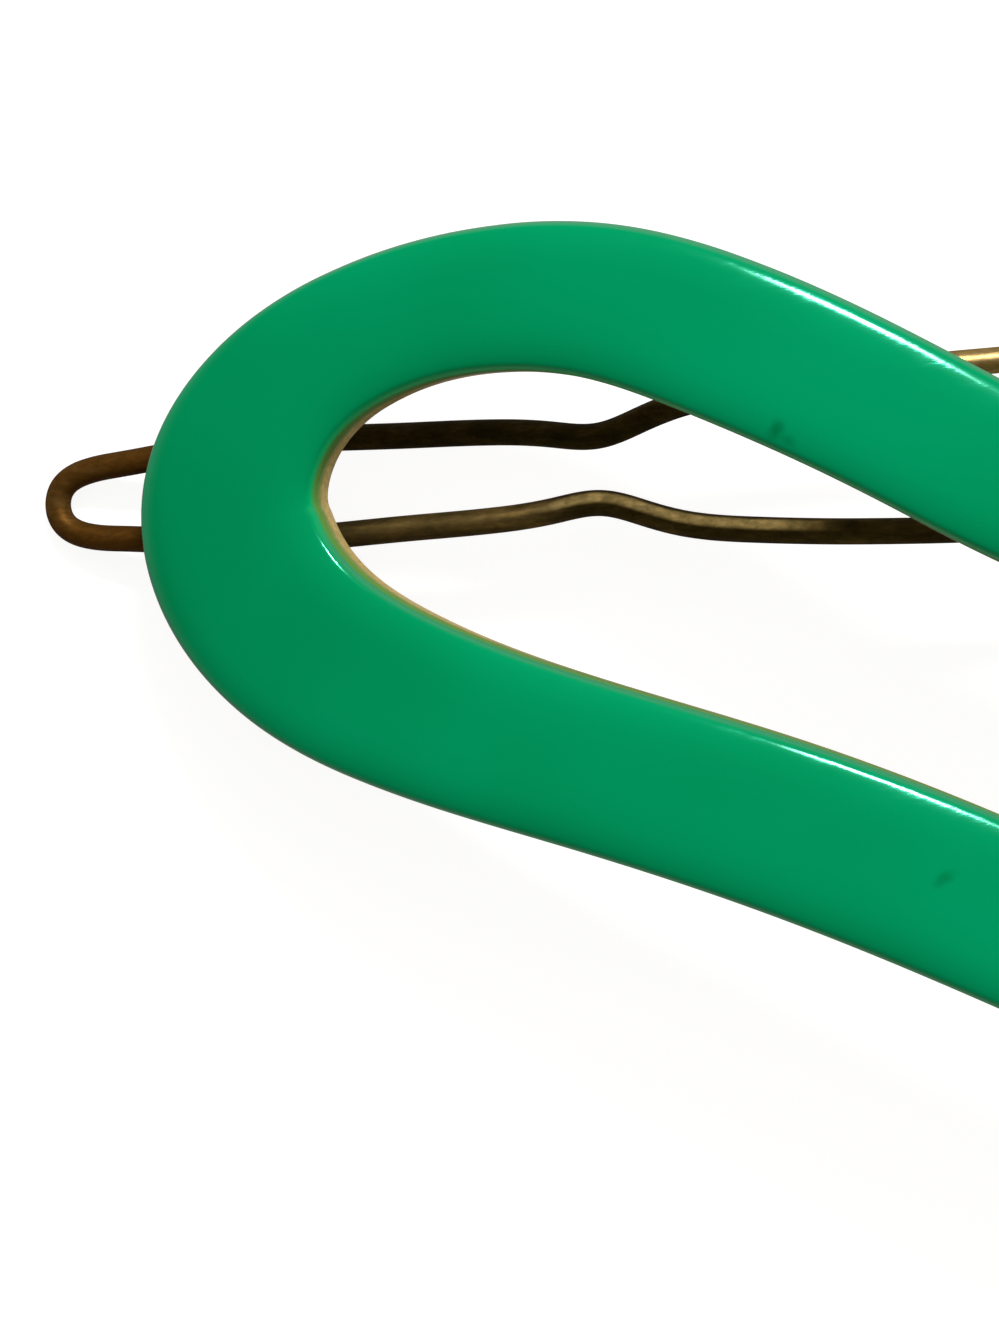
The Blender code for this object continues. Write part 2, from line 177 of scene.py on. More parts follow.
class BarretteColours(bpy.types.PropertyGroup):
    """Colours of the finishes."""

    enamel: colour("Enamel", "The enamel's own green", (0.0, 0.32, 0.13))
    enamel_deep: colour("Deep enamel", "The green where the enamel lies thicker", (0.0, 0.275, 0.1))
    # Painted light: a paler green on the enamel's rims that face away from the key light, lifting their
    # shade
    painted_light_rim_green: colour("Enamel edge", "The green of the enamel's outer edge", (0.01, 0.62, 0.18))
    # Painted shade: a duller, darker green on the rims that face the key light
    painted_shade_rim_green: colour("Upper edge", "The duller green of its upper edge", (0.033, 0.26, 0.115))
    enamel_thin: colour("Thin enamel", "Olive where brass shows through at the hole", (0.14, 0.29, 0.032))
    enamel_mark: colour("Marks", "Old smudges in the enamel", (0.0, 0.13, 0.035))
    brass: colour("Brass", "Clean worn brass", (0.88, 0.67, 0.27))
    tarnish: colour("Tarnish", "Brown tarnish on the plate", (0.39, 0.26, 0.065))
    wire: colour("Rubbed wire", "Where the wire's patina is thin", (0.52, 0.33, 0.11))
    # Painted highlight colour for the lower leg's flank, also mixed a little into the upper leg's cleaner
    # end
    painted_highlight_and_clean_wire: colour("Bright wire", "Where the wire is rubbed bright", (1.0, 0.78, 0.38))
    patina: colour("Patina", "Dark patina on the wire", (0.028, 0.021, 0.006))
    tip_patina: colour("Tip patina", "Redder patina on the finger tip", (0.125, 0.052, 0.008))
    enamel_run: colour("Enamel run", "Enamel that has run down the plate's sides", (0.08, 0.27, 0.07))
    solder: colour("Solder", "Dull solder", (0.45, 0.43, 0.40))


class BarretteStage(bpy.types.PropertyGroup):
    """The floor and the light."""

    floor: colour("Floor", "Colour of the floor", (0.25, 0.25, 0.25))
    glow: share("Floor glow", "What lifts the floor to white for the camera", 0.9)
    gloss_glow: share("Floor glow in gloss", "What lifts the floor towards white in reflections", 0.15)
    key_width: length("Key width", "Width of the key light", 0.155)
    key_length: length("Key length", "Length of the key light", 0.075)
    key_distance: length("Key distance", "From the barrette to the key light", 0.50)
    key_power: bpy.props.FloatProperty(
        name="Key power", description="Power of the key light", default=5.4, unit="POWER"
    )
    shade: colour("Shade", "Colour of the light from away from the key", (1.0, 0.93, 0.68))
    ambient: share("Ambient", "Light from all round", 0.20)
    sky: bpy.props.FloatProperty(
        name="Sky", description="Soft light from the key's part of the sky", default=1.55, min=0
    )


def deselect_all():
    if bpy.context.mode != "OBJECT":
        bpy.ops.object.mode_set(mode="OBJECT")
    bpy.ops.object.select_all(action="DESELECT")


def select_only(piece):
    deselect_all()
    piece.select_set(True)
    bpy.context.view_layer.objects.active = piece


def apply_modifier(piece, kind, **settings):
    """Adds a modifier and applies it at once."""
    select_only(piece)
    modifier = piece.modifiers.new(kind, kind)
    for key, value in settings.items():
        setattr(modifier, key, value)
    bpy.ops.object.modifier_apply(modifier=modifier.name)


def subdivide(piece, levels):
    apply_modifier(piece, "SUBSURF", levels=levels, render_levels=levels)


def round_edges(piece, width):
    """Rounds a piece's sharp edges."""
    apply_modifier(piece, "BEVEL", width=width, segments=3, limit_method="ANGLE", angle_limit=SHARP)


def put_in_place(piece, body, material, slot, *nodes):
    """Gives a finished piece its material and its body, and hides the CAD nodes it stands for."""
    lay_out(material.node_tree)
    piece.data.materials.clear()
    piece.data.materials.append(material)
    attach(piece, body)
    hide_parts(*nodes)


def select_faces(piece, test):
    """In edit mode, selects just the faces that pass a test."""
    bpy.ops.mesh.select_mode(type="FACE")
    bpy.ops.mesh.select_all(action="DESELECT")
    mesh = bmesh.from_edit_mesh(piece.data)
    for face in mesh.faces:
        face.select_set(test(face))
    bmesh.update_edit_mesh(piece.data)


def flat_band(name, outer, inner, radius, height):
    """A band's flat pattern with its height, over the arch's top: a circle drawn out to the outer line,
    extruded to the inner line, and the ring of faces extruded upwards."""
    deselect_all()
    bpy.ops.mesh.primitive_circle_add(vertices=len(outer), radius=cad_high.y)
    piece = bpy.context.object
    piece.name = piece.data.name = name
    bpy.ops.object.mode_set(mode="EDIT")
    bpy.ops.mesh.select_all(action="SELECT")
    bpy.ops.mesh.extrude_edges_move()
    bpy.ops.object.mode_set(mode="OBJECT")
    for vertex, (x, y) in zip(piece.data.vertices, (*outer, *inner)):
        vertex.co = (x, y, AXIS_Z + radius)
    bpy.ops.object.mode_set(mode="EDIT")
    bpy.ops.mesh.select_all(action="SELECT")
    bpy.ops.mesh.extrude_region_move(TRANSFORM_OT_translate={"value": (0, 0, height)})
    bpy.ops.mesh.select_all(action="SELECT")
    bpy.ops.mesh.normals_make_consistent(inside=False)
    return piece


def crease_rims(piece, highest=float("inf")):
    """In edit mode, keeps a band's sharp edges up to a height sharp when it is subdivided."""
    bpy.ops.mesh.select_mode(type="EDGE")
    bpy.ops.mesh.select_all(action="DESELECT")
    bpy.ops.mesh.edges_select_sharp(sharpness=SHARP)
    mesh = bmesh.from_edit_mesh(piece.data)
    for edge in mesh.edges:
        edge.select_set(edge.select and edge.verts[0].co.z < highest)
    bmesh.update_edit_mesh(piece.data)
    bpy.ops.transform.edge_crease(value=1)


def bend_on_arch(piece):
    """Bends a flat band down over the plate's arch."""
    bpy.ops.object.empty_add(location=(MIDDLE_X, 0, ARCH_TOP), rotation=(pi / 2, 0, 0))
    guide = bpy.context.object
    across = [vertex.co.x for vertex in piece.data.vertices]
    angle = (min(across) - max(across)) / BACK_RADIUS
    apply_modifier(
        piece, "SIMPLE_DEFORM", deform_method="BEND", deform_axis="Z", origin=guide, angle=angle
    )
    bpy.data.objects.remove(guide)


def merged_copy(node, name):
    """A copy of a CAD node as a piece of its own, in edit mode, with its doubled points merged."""
    piece = bpy.data.objects.new(name, frame["nodes"][node].data.copy())
    piece.data.name = name
    bpy.context.scene.collection.objects.link(piece)
    select_only(piece)
    bpy.ops.object.mode_set(mode="EDIT")
    bpy.ops.mesh.select_all(action="SELECT")
    bpy.ops.mesh.remove_doubles(threshold=MERGE)
    return piece


# Where the visible outer edge lies between the line of the CAD plate and that of the CAD enamel
SET_BACK = 0.8
# How many insets shape the enamel's corner, shoulder and crown
CORNER_STEPS = 4
SHOULDER_STEPS = 4
CROWN_STEPS = 2


def edge_lines():
    """The outer line, drawn in from the plate's towards the CAD enamel's, and the plate's inner line."""
    outer, inner = band_lines("frame_plate")
    return outer + (band_lines("enamel_face")[0] - outer) * SET_BACK, inner


def rounding(width, height, inwards):
    """The height gained on an elliptical rounding at a distance inwards from its foot."""
    return height * (1 - max(0, 1 - inwards / width) ** 2) ** 0.5


def enamel_steps():
    """Steps inwards and upwards over the enamel's tight corner, its wide shoulder and its slight crown."""
    sizes = bpy.context.scene.barrette_sizes
    corner, width, reach = sizes.corner_width, sizes.shoulder_width, sizes.crown_width
    turns = np.linspace(0, pi / 2, CORNER_STEPS + 1)
    wide_turns = np.linspace(acos(1 - corner / width), pi / 2, SHOULDER_STEPS + 1)[1:]
    places = [*(corner * (1 - np.cos(turns))), *(width * (1 - np.cos(wide_turns)))]
    places += [*np.linspace(width, reach, CROWN_STEPS + 1)[1:]]
    heights = []
    for place in places:
        tight = rounding(corner, sizes.corner_height, place)
        wide = rounding(width, sizes.shoulder_height, place)
        heights.append(tight + wide + sizes.crown_height * (1 - (1 - place / reach) ** 2))
    return zip(np.diff(places), np.diff(heights))


# Attributes of the meshes that the finishes read
BELOW_TOP = "below_top"
BY_HOLE = "by_hole"


def keep_depth(piece, top, depth):
    """Keeps on each vertex how far below a flat piece's top it lies, as a share of a depth."""
    below = piece.data.attributes.new(BELOW_TOP, "FLOAT", "POINT")
    below.data.foreach_set("value", [(top - vertex.co.z) / depth for vertex in piece.data.vertices])


def keep_side(piece, outer, inner):
    """Keeps on each vertex of a flat piece 1 where the hole is nearer than the outer line, else 0."""
    trees = []
    for line in (outer, inner):
        tree = KDTree(len(line))
        for number, (x, y) in enumerate(line):
            tree.insert((x, y, 0), number)
        tree.balance()
        trees.append(tree)
    sides = []
    for vertex in piece.data.vertices:
        to_outer, to_inner = (tree.find((vertex.co.x, vertex.co.y, 0))[2] for tree in trees)
        sides.append(float(to_inner < to_outer))
    piece.data.attributes.new(BY_HOLE, "FLOAT", "POINT").data.foreach_set("value", sides)


# How far apart the columns and rows of a node tree lie
COLUMN = 200
ROW = 250


def lay_out(tree):
    """Sets a tree's nodes in columns, each node to the left of all that it feeds."""
    columns = {}
    waiting = [(node, 0) for node in tree.nodes if not any(socket.is_linked for socket in node.outputs)]
    while waiting:
        node, column = waiting.pop()
        if column > columns.get(node.name, -1):
            columns[node.name] = column
            waiting += [(link.from_node, column + 1) for socket in node.inputs for link in socket.links]
    rows = dict.fromkeys(columns.values(), 0)
    for name, column in columns.items():
        tree.nodes[name].location = (-COLUMN * column, -ROW * rows[column])
        rows[column] += 1


def new_node(tree, kind, **settings):
    """Adds a node. Each setting goes to its input of that name, or else to the node itself."""
    node = tree.nodes.new(kind)
    for key, value in settings.items():
        if key in node.inputs:
            node.inputs[key].default_value = value
        else:
            setattr(node, key, value)
    return node


def feed(tree, socket, value):
    """Links an output to an input, or sets the input to a value."""
    if isinstance(value, bpy.types.NodeSocket):
        tree.links.new(value, socket)
    else:
        socket.default_value = value


def mix_colours(tree, factor, first, second, blend="MIX"):
    """Mixes two colours, each a socket or three numbers."""
    node = new_node(tree, "ShaderNodeMix", data_type="RGBA", blend_type=blend)
    feed(tree, node.inputs["Factor"], factor)
    for socket, value in zip(node.inputs[6:8], (first, second)):
        feed(tree, socket, value if isinstance(value, bpy.types.NodeSocket) else (*value, 1.0))
    return node.outputs[2]


def maths(tree, operation, *values, clamp=False):
    node = new_node(tree, "ShaderNodeMath", operation=operation, use_clamp=clamp)
    for socket, value in zip(node.inputs, values):
        feed(tree, socket, value)
    return node.outputs[0]


def attribute(tree, name):
    return new_node(tree, "ShaderNodeAttribute", attribute_name=name).outputs["Fac"]


def split(tree, vector):
    """A vector's outputs X, Y and Z."""
    node = new_node(tree, "ShaderNodeSeparateXYZ")
    tree.links.new(vector, node.inputs[0])
    return node.outputs


def along(tree, vector, direction):
    """How far a vector points in a direction."""
    node = new_node(tree, "ShaderNodeVectorMath", operation="DOT_PRODUCT")
    tree.links.new(vector, node.inputs[0])
    node.inputs[1].default_value = direction
    return node.outputs["Value"]


def noise(tree, vector, scale, detail=3.0, roughness=0.55, distortion=0.0):
    node = new_node(tree, "ShaderNodeTexNoise", Detail=detail, Roughness=roughness, Distortion=distortion)
    tree.links.new(vector, node.inputs["Vector"])
    feed(tree, node.inputs["Scale"], scale)
    return node.outputs["Fac"]


def stretched(tree, vector, scale):
    node = new_node(tree, "ShaderNodeMapping", Scale=scale)
    tree.links.new(vector, node.inputs["Vector"])
    return node.outputs[0]


def remap(tree, value, low, high, to_low=0.0, to_high=1.0):
    """Turns a range of values smoothly into another."""
    node = new_node(tree, "ShaderNodeMapRange", interpolation_type="SMOOTHSTEP")
    names = ("Value", "From Min", "From Max", "To Min", "To Max")
    for name, number in zip(names, (value, low, high, to_low, to_high)):
        feed(tree, node.inputs[name], number)
    return node.outputs["Result"]


def new_group(name, inputs, outputs):
    """An empty node group with named sockets, its input and its output node."""
    group = bpy.data.node_groups.new(name, "ShaderNodeTree")
    for label, kind, default in inputs:
        socket = group.interface.new_socket(label, in_out="INPUT", socket_type=kind)
        if default is not None:
            socket.default_value = default
    for label, kind in outputs:
        group.interface.new_socket(label, in_out="OUTPUT", socket_type=kind)
    entry = new_node(group, "NodeGroupInput")
    leave = new_node(group, "NodeGroupOutput")
    return group, entry, leave


# Scales of the tarnish's pits and of its grain
PIT_SCALE = 1900.0
GRAIN_SCALE = 5200.0
# Where patches, pits and spread add up to this, the metal is half tarnished
HALF_LEVEL = 1.18


def tarnish_group():
    """Patches of tarnish with fine pits: a colour, a roughness, a mask and a height."""
    if "tarnish" in bpy.data.node_groups:
        return bpy.data.node_groups["tarnish"]
    group, entry, leave = new_group(
        "tarnish",
        [
            ("Vector", "NodeSocketVector", None),
            ("Clean", "NodeSocketColor", None),
            ("Dark", "NodeSocketColor", None),
            ("Spread", "NodeSocketFloat", 0.5),
            ("Softness", "NodeSocketFloat", 0.4),
            ("Patch Scale", "NodeSocketFloat", 180.0),
        ],
        [
            ("Color", "NodeSocketColor"),
            ("Roughness", "NodeSocketFloat"),
            ("Mask", "NodeSocketFloat"),
            ("Height", "NodeSocketFloat"),
        ],
    )
    vector = entry.outputs["Vector"]
    scale = entry.outputs["Patch Scale"]
    patches = noise(group, vector, scale, detail=5.0, roughness=0.62, distortion=0.6)
    pits = noise(group, vector, PIT_SCALE, detail=4.0, roughness=0.6)
    grain = noise(group, vector, GRAIN_SCALE, detail=2.0)
    joined = maths(group, "MULTIPLY_ADD", pits, 0.35, patches)
    level = maths(group, "ADD", joined, entry.outputs["Spread"])
    half = maths(group, "MULTIPLY", entry.outputs["Softness"], 0.5)
    low = maths(group, "SUBTRACT", HALF_LEVEL, half)
    high = maths(group, "ADD", HALF_LEVEL, half)
    mask = remap(group, level, low, high)
    shade = mix_colours(group, mask, entry.outputs["Clean"], entry.outputs["Dark"])
    speckle = remap(group, grain, 0.35, 0.7, 0.82, 1.08)
    dulled = maths(group, "MULTIPLY_ADD", grain, 0.3, mask)
    results = {
        "Color": mix_colours(group, 1.0, shade, speckle, "MULTIPLY"),
        "Roughness": remap(group, dulled, 0.0, 1.3, 0.28, 0.56),
        "Mask": mask,
        "Height": maths(group, "MULTIPLY_ADD", mask, 0.5, grain),
    }
    for name, result in results.items():
        group.links.new(result, leave.inputs[name])
    lay_out(group)
    return group


def new_material(name, **shader_values):
    """A material with a Principled shader: the material, its tree, the shader and the coordinates."""
    material = bpy.data.materials.new(name)
    material.use_nodes = True
    tree = material.node_tree
    shader = tree.nodes["Principled BSDF"]
    for key, value in shader_values.items():
        shader.inputs[key.replace("_", " ")].default_value = value
    return material, tree, shader, new_node(tree, "ShaderNodeTexCoord").outputs


def add_bump(tree, shader, height, distance):
    bump = new_node(tree, "ShaderNodeBump", Distance=distance)
    tree.links.new(height, bump.inputs["Height"])
    tree.links.new(bump.outputs["Normal"], shader.inputs["Normal"])
    return bump


def tarnished(name, clean, dark, softness, patch_scale, bump, spread=0.5, stretch=(1, 1, 1)):
    """A metal with the shared tarnish, at this finish's own colours and scale."""
    material, tree, shader, coordinates = new_material(name, Metallic=1.0)
    group = new_node(tree, "ShaderNodeGroup", node_tree=tarnish_group())
    group.inputs["Clean"].default_value = (*clean, 1)
    group.inputs["Dark"].default_value = (*dark, 1)
    group.inputs["Spread"].default_value = spread
    group.inputs["Softness"].default_value = softness
    group.inputs["Patch Scale"].default_value = patch_scale
    tree.links.new(stretched(tree, coordinates["Object"], stretch), group.inputs["Vector"])
    tree.links.new(group.outputs["Color"], shader.inputs["Base Color"])
    tree.links.new(group.outputs["Roughness"], shader.inputs["Roughness"])
    add_bump(tree, shader, group.outputs["Height"], bump)
    return material, tree, shader, group, coordinates


# Old smudges in the enamel: where each lies, its turn, its length and width, and how strongly it shows
ENAMEL_MARKS = (
    ((-0.01620, 0.00955), radians(55), 0.00052, 0.00036, 0.6),
    ((-0.01570, 0.00905), radians(-50), 0.00045, 0.00026, 0.4),
    ((-0.01026, -0.01009), radians(32), 0.00064, 0.00032, 0.45),
)


def soft_mark(tree, place, ragged, centre, turn, length, width, strength):
    """A mask for one smudge with a soft ragged edge."""
    from_mark = new_node(
        tree, "ShaderNodeMapping", vector_type="TEXTURE",
        Location=(*centre, 0), Rotation=(0, 0, turn), Scale=(length, width, 1),
    )
    tree.links.new(place, from_mark.inputs["Vector"])
    reach = new_node(tree, "ShaderNodeVectorMath", operation="LENGTH")
    tree.links.new(from_mark.outputs[0], reach.inputs[0])
    edge = maths(tree, "MULTIPLY_ADD", ragged, -1.2, reach.outputs["Value"])
    return remap(tree, edge, -0.6, 0.7, strength, 0.0)


# Depths over which the enamel's coat ends and its rims begin: the rims' painted light and shade, a duller
# rim and the olive at the hole, as shares of its thickness
COAT_END = (0.26, 0.45)
UPPER_RIM_SHADE = (0.29, 0.45)
PAINTED_RIM = (0.31, 0.60)
DULL_RIM = (0.45, 0.70)
THIN_RIM = (0.56, 0.84)
# How much of the green the rims' painted light and shade and the olive at the hole take over
PAINTED_RIM_SHARE = 0.9
THIN_SHARE = 0.95
# How much of the rims' painted light is missing round the hole, but for its lower side
MISSING_AT_HOLE = 0.6
# How far a rim's normal points along y, the key light's side, where it starts to count as an upper, lit
# one, and as no lower, shaded one
UPPER_SIDE = (0.0, 0.6)
NOT_LOWER_SIDE = (-0.9, -0.4)


def rim_colours(tree, coordinates, depth, green):
    """The enamel's green with painted light and shade on its rims: a paler green painted on the rims that
    face away from the key light, a duller one painted on those that face it, and olive where it thins at
    the hole.
    """
    colours = bpy.context.scene.barrette_colours
    by_hole = attribute(tree, BY_HOLE)
    facing = split(tree, coordinates["Normal"])["Y"]
    upper = remap(tree, facing, *UPPER_SIDE)
    missing = maths(tree, "MULTIPLY", remap(tree, facing, *NOT_LOWER_SIDE), by_hole)
    kept = maths(tree, "MULTIPLY_ADD", missing, -MISSING_AT_HOLE, 1.0)
    # Painted light on the rims, weaker round the hole but for its lower side
    rim = maths(tree, "MULTIPLY", remap(tree, depth, *PAINTED_RIM, 0.0, PAINTED_RIM_SHARE), kept)
    upper_rim_shade = maths(tree, "MULTIPLY", remap(tree, depth, *UPPER_RIM_SHADE, 0.0, PAINTED_RIM_SHARE), upper)
    # Rims that face the key light take the painted shade, the others the painted light
    edge = mix_colours(tree, upper, colours.painted_light_rim_green, colours.painted_shade_rim_green)
    green = mix_colours(tree, maths(tree, "MAXIMUM", rim, upper_rim_shade), green, edge)
    thin = maths(tree, "MULTIPLY", remap(tree, depth, *THIN_RIM, 0.0, THIN_SHARE), by_hole)
    return mix_colours(tree, thin, green, colours.enamel_thin)


# Scales of what varies over the enamel
POOL_SCALE = 55.0
RIPPLE_SCALE = 260.0
SCUFF_SCALE = 700.0
RAGGED_SCALE = 1700.0
HAIR_SCALE = 2400.0


def enamel_material():
    """Poured green enamel: slight pooling, painted light and shade on its rims, a faint ripple and old
    smudges under a hard gloss.
    """
    colours = bpy.context.scene.barrette_colours
    material, tree, shader, coordinates = new_material(
        "green_enamel_gloss", Metallic=0.0, IOR=1.5, Specular_IOR_Level=0.5,
        Specular_Tint=(0.1, 1.0, 0.7, 1), Coat_IOR=1.5, Coat_Roughness=0.05,
    )
    place = coordinates["Object"]
    depth = attribute(tree, BELOW_TOP)
    pooled = remap(tree, noise(tree, place, POOL_SCALE, detail=2.0), 0.3, 0.7)
    green = mix_colours(tree, pooled, colours.enamel, colours.enamel_deep)
    green = rim_colours(tree, coordinates, depth, green)
    ragged = noise(tree, place, RAGGED_SCALE, detail=4.0, roughness=0.7)
    for mark in ENAMEL_MARKS:
        mask = soft_mark(tree, place, ragged, *mark)
        green = mix_colours(tree, mask, green, colours.enamel_mark)
    tree.links.new(green, shader.inputs["Base Color"])
    drawn_out = stretched(tree, place, (0.4, 1.6, 1.0))
    scuffs = noise(tree, drawn_out, SCUFF_SCALE, detail=5.0, roughness=0.7)
    scuffed = remap(tree, scuffs, 0.4, 0.75, 0.1, 0.22)
    dull = remap(tree, depth, *DULL_RIM, 0.0, 0.5)
    tree.links.new(maths(tree, "MAXIMUM", scuffed, dull), shader.inputs["Roughness"])
    tree.links.new(remap(tree, depth, *COAT_END, 0.35, 0.0), shader.inputs["Coat Weight"])
    ripple = noise(tree, place, RIPPLE_SCALE, detail=1.0)
    drawn_out = stretched(tree, place, (1.0, 2.5, 1.0))
    hair = noise(tree, drawn_out, HAIR_SCALE, detail=2.0, roughness=0.6)
    hairlines = maths(tree, "MULTIPLY", hair, remap(tree, scuffs, 0.45, 0.7, 0.02, 0.28))
    bump = add_bump(tree, shader, maths(tree, "ADD", ripple, hairlines), 0.000015)
    tree.links.new(bump.outputs["Normal"], shader.inputs["Coat Normal"])
    return material


# How far from the arch's middle the enamel runs down the whole side of the plate
ARM_ENDS = (0.027, 0.033)


def brass_material():
    """The stamped plate: worn brass with brown tarnish, and enamel run down its sides."""
    colours = bpy.context.scene.barrette_colours
    material, tree, shader, group, coordinates = tarnished(
        "stamped_brass", colours.brass, colours.tarnish,
        softness=0.7, patch_scale=160.0, bump=0.000006, spread=0.36,
    )
    shader.inputs["Specular Tint"].default_value = (0.8, 0.62, 0.3, 1)
    below = attribute(tree, BELOW_TOP)
    x = split(tree, coordinates["Object"])["X"]
    off_middle = maths(tree, "ABSOLUTE", maths(tree, "SUBTRACT", x, MIDDLE_X))
    arms = remap(tree, off_middle, *ARM_ENDS, 1.0, 0.0)
    reach = maths(tree, "MULTIPLY_ADD", arms, 1.2, 0.5)
    run = remap(tree, below, 0.01, reach, 0.9, 0.0)
    covered = mix_colours(tree, run, group.outputs["Color"], colours.enamel_run)
    tree.links.new(covered, shader.inputs["Base Color"])
    tree.links.new(remap(tree, below, 0.9, 1.0, 0.25, 0.6), shader.inputs["Metallic"])
    return material


# Stretches of the wire along x: where its redder finger tip ends, and where its upper leg turns bright:
# cleaner metal, partly real polish and partly painted light for where that end comes out of the arm's
# shade
TIP_END = (-0.0445, -0.0405)
BRIGHT_START = (-0.0145, -0.0080)
# Where, along y, the upper leg begins
UPPER_LEG = (0.0088, 0.0105)
# The lower leg gets a painted highlight on this stretch, along the flank that faces this way, up and
# towards the key light
PAINTED_HIGHLIGHT_START = (-0.0276, -0.0242)
PAINTED_HIGHLIGHT_END = (-0.0160, -0.0126)
FLANK = (0.0, 0.45, 0.893)
FLANK_SIDES = (0.82, 0.99)
MOTTLE_SCALE = 1300.0


def painted_highlight_mask(tree, coordinates, x, upper):
    """A mottled mask for the painted highlight on a stretch of the lower leg's flank that faces the key
    light.
    """
    flank = remap(tree, along(tree, coordinates["Normal"], FLANK), *FLANK_SIDES)
    start = remap(tree, x, *PAINTED_HIGHLIGHT_START)
    end = remap(tree, x, *PAINTED_HIGHLIGHT_END, 1.0, 0.0)
    mottle = noise(tree, coordinates["Object"], MOTTLE_SCALE, detail=3.0, roughness=0.6)
    mottled = remap(tree, mottle, 0.38, 0.6, 0.7, 1.0)
    mask = maths(tree, "MULTIPLY", start, end)
    for part in (maths(tree, "SUBTRACT", 1.0, upper), flank, mottled):
        mask = maths(tree, "MULTIPLY", mask, part)
    return mask


def wire_material():
    """Drawn wire with a dark patina: redder at the tip, the upper leg darkened by painted shade and
    cleaner towards its end, partly painted light, and a painted highlight on the lower leg's flank.
    """
    colours = bpy.context.scene.barrette_colours
    material, tree, shader, group, coordinates = tarnished(
        "patinated_wire", colours.wire, colours.patina,
        softness=0.9, patch_scale=200.0, bump=0.00001, stretch=(0.35, 1, 1),
    )
    shader.inputs["Specular Tint"].default_value = (0.2, 0.15, 0.08, 1)
    at = split(tree, coordinates["Object"])
    tip = remap(tree, at["X"], *TIP_END, 1.0, 0.0)
    upper = remap(tree, at["Y"], *UPPER_LEG)
    bright = maths(tree, "MULTIPLY", remap(tree, at["X"], *BRIGHT_START), upper)
    painted_highlight = painted_highlight_mask(tree, coordinates, at["X"], upper)
    painted_highlight_and_clean_end = maths(tree, "MAXIMUM", maths(tree, "MULTIPLY", bright, 0.2), painted_highlight)
    clean = mix_colours(tree, painted_highlight_and_clean_end, colours.wire, colours.painted_highlight_and_clean_wire)
    tree.links.new(clean, group.inputs["Clean"])
    dark = mix_colours(tree, tip, colours.patina, colours.tip_patina)
    tree.links.new(dark, group.inputs["Dark"])
    # Heavier patina on the upper leg is painted shade for where it lies under the arm
    spread = maths(tree, "MULTIPLY_ADD", upper, 0.12, 0.75)
    spread = maths(tree, "MULTIPLY_ADD", tip, 0.1, spread)
    spread = maths(tree, "MULTIPLY_ADD", maths(tree, "MAXIMUM", bright, painted_highlight), -0.66, spread)
    tree.links.new(spread, group.inputs["Spread"])
    metal = maths(tree, "MULTIPLY_ADD", group.outputs["Mask"], -0.4, 1.0)
    # The painted highlight is a dull non-metal, so that it shows pale in the arm's shade
    metal = maths(tree, "MULTIPLY_ADD", painted_highlight, -0.6, metal, clamp=True)
    tree.links.new(metal, shader.inputs["Metallic"])
    dulled = maths(tree, "MULTIPLY_ADD", painted_highlight_and_clean_end, 0.6, group.outputs["Roughness"])
    tree.links.new(dulled, shader.inputs["Roughness"])
    return material


def fitting_material():
    """Sheet brass of the hinge and the catch, dull and stained by flux."""
    colours = bpy.context.scene.barrette_colours
    clean = [c * 0.8 for c in colours.brass]
    return tarnished(
        "sheet_brass", clean, colours.tarnish, softness=0.6, patch_scale=420.0, bump=0.000006
    )[0]


def solder_material():
    """Dull solder with a grainy skin."""
    colours = bpy.context.scene.barrette_colours
    dark = [c * 0.45 for c in colours.solder]
    return tarnished(
        "dull_solder", colours.solder, dark, softness=0.5, patch_scale=700.0, bump=0.00001
    )[0]


class BARRETTE_OT_plate(bpy.types.Operator):
    """Stamped brass plate under the enamel"""

    bl_idname = "barrette.plate"
    bl_label = "Stamped plate"

    def execute(self, context):
        outer, inner = edge_lines()
        piece = flat_band("stamped_plate", outer, inner, BACK_RADIUS, FRONT_RADIUS - BACK_RADIUS)
        crease_rims(piece)
        subdivide(piece, FINE)
        round_edges(piece, context.scene.barrette_sizes.plate_edge)
        keep_depth(piece, AXIS_Z + FRONT_RADIUS, FRONT_RADIUS - BACK_RADIUS)
        bend_on_arch(piece)
        bpy.ops.object.shade_smooth_by_angle(angle=SOFT)
        put_in_place(piece, "ornament", brass_material(), "plate_brass", "frame_plate")
        return {"FINISHED"}


class BARRETTE_OT_enamel(bpy.types.Operator):
    """Poured enamel on the front of the plate"""

    bl_idname = "barrette.enamel"
    bl_label = "Enamel"

    def execute(self, context):
        sizes = context.scene.barrette_sizes
        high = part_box("enamel_face")[1]
        lines = sharp_lines("enamel_face")
        base = min(hypot(line[0][0] - MIDDLE_X, line[0][2] - AXIS_Z) for line in lines)
        thickness = high.z - AXIS_Z - base
        wall = thickness - sizes.corner_height - sizes.shoulder_height - sizes.crown_height
        outer, inner = edge_lines()
        piece = flat_band("poured_enamel", outer, inner, base, wall)
        crease_rims(piece, AXIS_Z + base + wall / 2)
        select_faces(piece, lambda face: face.normal.z > cos(SHARP))
        for inwards, rise in enamel_steps():
            bpy.ops.mesh.inset(thickness=inwards, depth=rise)
        subdivide(piece, FINE)
        keep_depth(piece, high.z, thickness)
        keep_side(piece, outer, inner)
        bend_on_arch(piece)
        bpy.ops.object.shade_smooth_by_angle(angle=SHARP)
        put_in_place(piece, "ornament", enamel_material(), "green_enamel", "enamel_face")
        return {"FINISHED"}


# A ten-sided tube grown by this much is as thick as the wire once it is subdivided
WIRE_GROWTH = 0.000034
# Triangles that turn by less than this against each other join into one face
FACE_TURN = radians(60)


